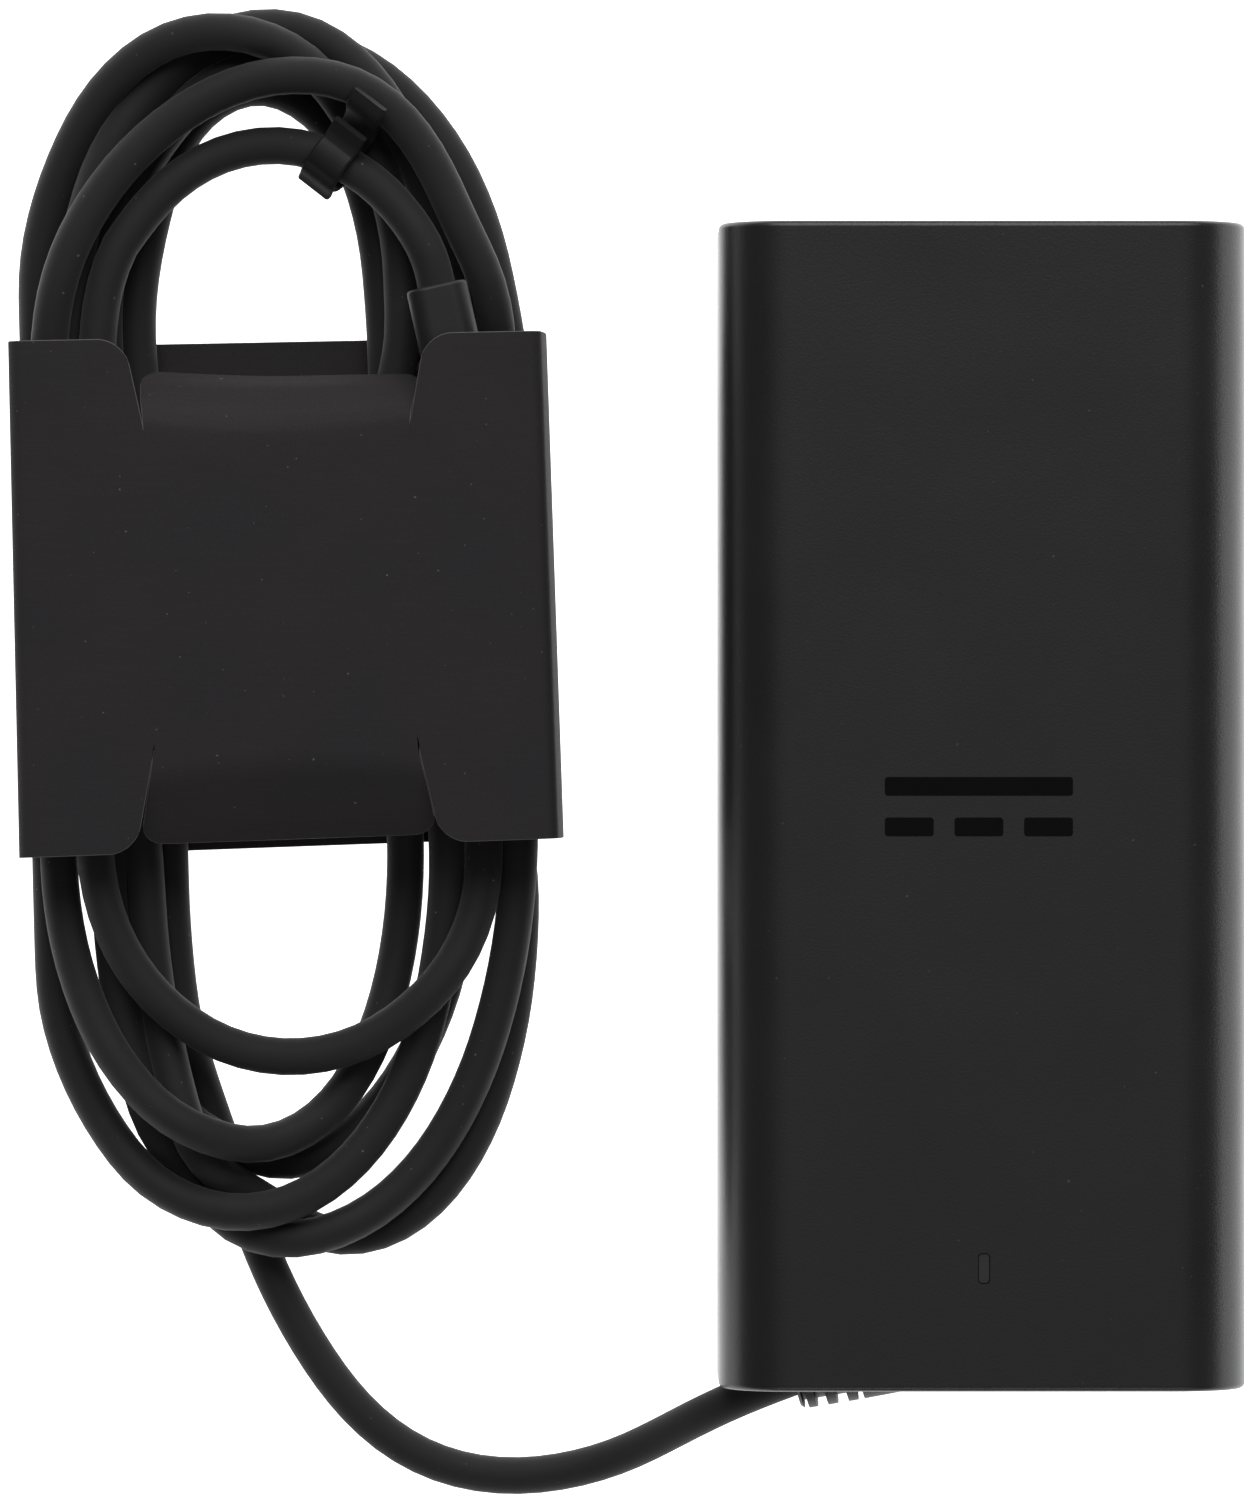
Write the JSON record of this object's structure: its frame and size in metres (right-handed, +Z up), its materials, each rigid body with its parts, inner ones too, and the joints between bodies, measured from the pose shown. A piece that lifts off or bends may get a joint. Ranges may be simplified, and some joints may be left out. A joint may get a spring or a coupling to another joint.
{
  "type": "laptop power adapter",
  "caption": "Flat matt-black laptop power adapter brick with a mains inlet, side-exit cord wound as a hank, small reversible plug, cord tie and card sleeve.",
  "frame": {"origin": "middle of the brick's footprint, on the surface that it lies on", "axes": "+Y along the brick towards the mains inlet, +Z up, +X to the right, away from the wound cord"},
  "size_m": [0.1204, 0.1475, 0.028],
  "materials": {
    "case": "fine matt texture",
    "cord": "smooth satin jacket",
    "soft_rubber": "satin",
    "sleeve_card": "matt coated card",
    "light_window": "smoked, glossy",
    "label": "plain film",
    "inlet": "fine",
    "plated_metal": "satin nickel",
    "board": "solder mask",
    "ferrite": "dull",
    "copper": "enamelled copper",
    "can_sleeve": "heat-shrink film",
    "film_yellow": "moulded",
    "ceramic_blue": "dipped",
    "chip": "moulded epoxy",
    "aluminium": "bare",
    "film_grey": "film",
    "tape": "tape",
    "wire_red": "insulation",
    "wire_black": "insulation",
    "led": "lens"
  },
  "bodies": {
    "adapter": {"top_shell": "case", "bottom_shell": "case", "rating_plate": "label", "light_window": "light_window", "status_led": "led", "inlet_housing": "inlet", "inlet_pin_line": "plated_metal", "inlet_pin_neutral": "plated_metal", "inlet_pin_earth": "plated_metal", "main_board": "board", "fuse": "chip", "x_capacitor": "film_yellow", "choke_core": "ferrite", "choke_winding": "copper", "bridge_rectifier": "chip", "bulk_capacitor_1": "can_sleeve", "bulk_capacitor_2": "can_sleeve", "primary_switch": "chip", "transformer_core": "ferrite", "transformer_winding": "tape", "y_capacitor": "ceramic_blue", "output_capacitor_1": "aluminium", "output_capacitor_2": "aluminium", "rectifier_switch": "chip", "output_board": "board", "insulation_sheet": "film_grey", "primary_heat_spreader": "aluminium", "secondary_heat_spreader": "copper", "cord_strain_relief": "soft_rubber", "output_wire_positive": "wire_red", "output_wire_return": "wire_black", "cord_lead": "cord", "cord_coil": "cord", "plug_boot": "soft_rubber", "plug_shell": "plated_metal", "plug_liner": "chip", "cord_tie": "soft_rubber"},
    "sleeve": {"cable_sleeve": "sleeve_card"}
  },
  "joints": [
    {"name": "sleeve_slide", "type": "slide", "parent": "adapter", "child": "sleeve", "axis": [-0.0279, 0.9996, 0], "range_m": [-0.014, 0.003]}
  ]
}
